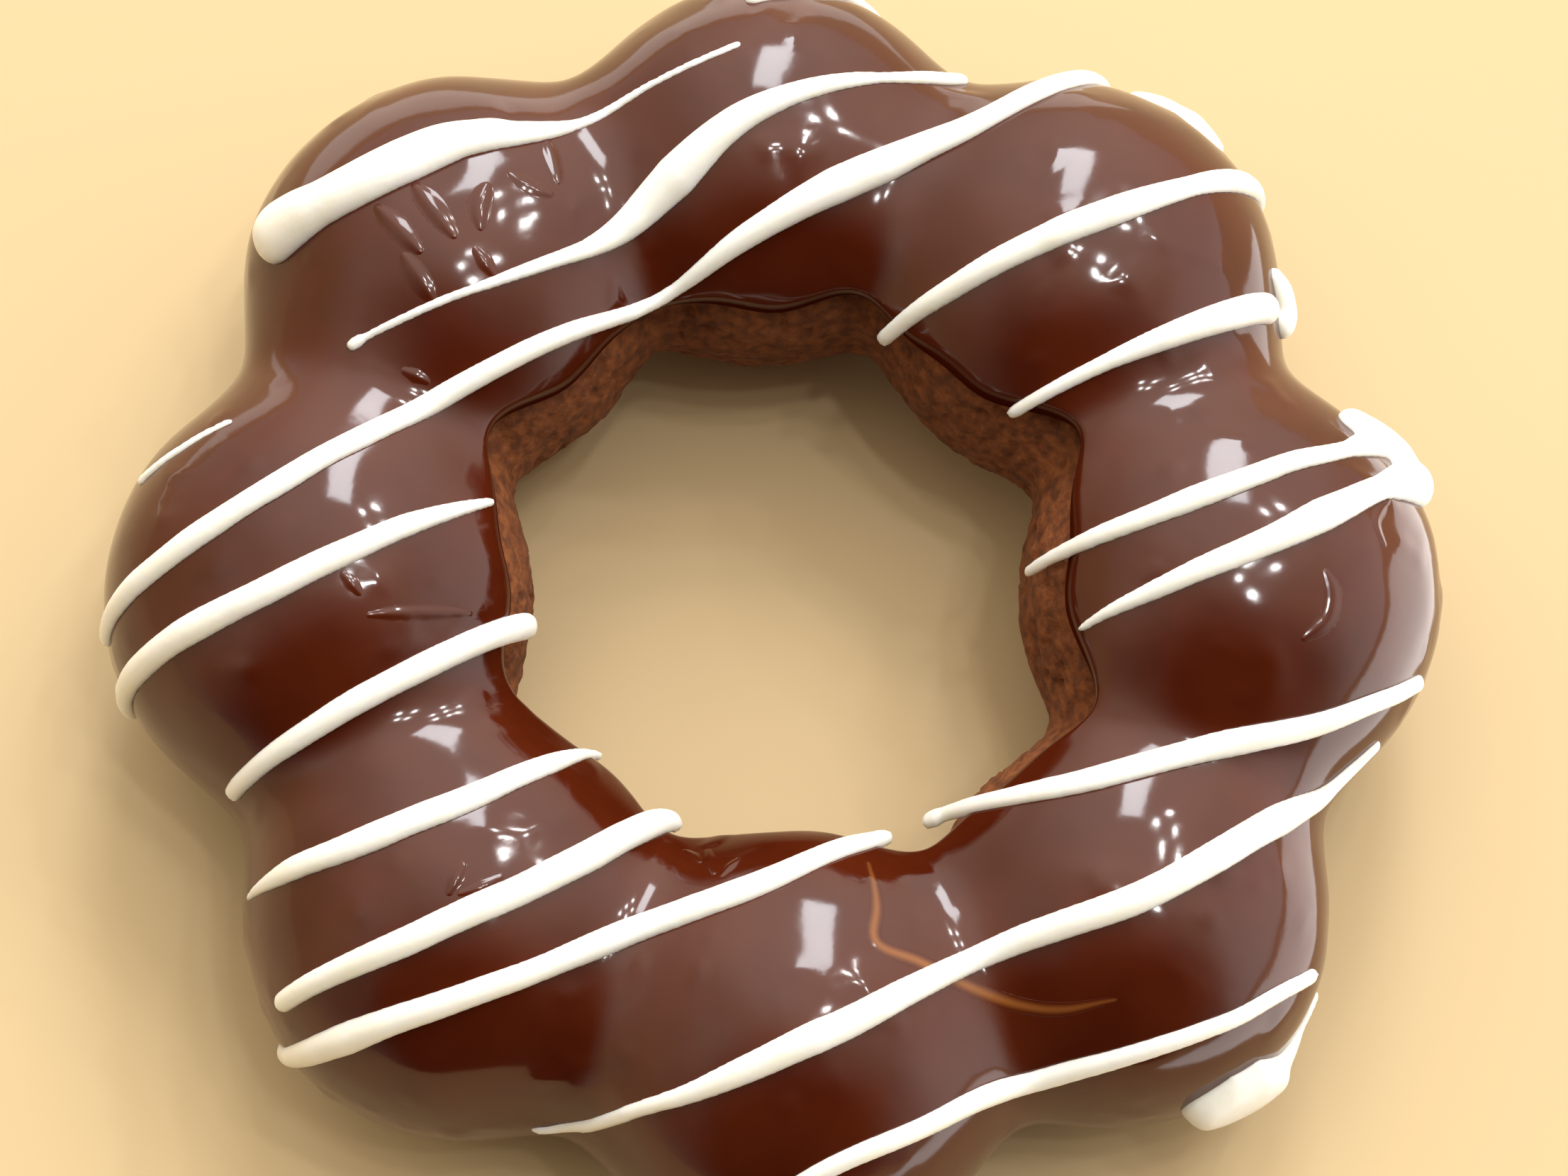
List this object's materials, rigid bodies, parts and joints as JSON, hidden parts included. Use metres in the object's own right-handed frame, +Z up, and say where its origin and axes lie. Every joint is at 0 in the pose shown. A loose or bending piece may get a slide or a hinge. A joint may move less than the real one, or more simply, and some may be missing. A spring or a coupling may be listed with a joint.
{
  "type": "mochi doughnut",
  "caption": "Ring of dough balls fried as one doughnut, with a glossy milk chocolate coat and a piped white drizzle.",
  "frame": {"origin": "middle of the outline's box, at the height of the surface that the doughnut lies on", "axes": "+Z up through the hole; +X to the right and -Y towards the viewer of the shown side; the balls of the ring lie near every 45 degrees from +X"},
  "size_m": [0.0884, 0.0872, 0.0264],
  "materials": {
    "dough": "matte, crumbly fried dough",
    "chocolate": "very glossy milk chocolate glaze",
    "drizzle": "satin white icing"
  },
  "bodies": {
    "root": {"dough_ring": "dough", "chocolate_coat": "chocolate"}
  },
  "joints": []
}
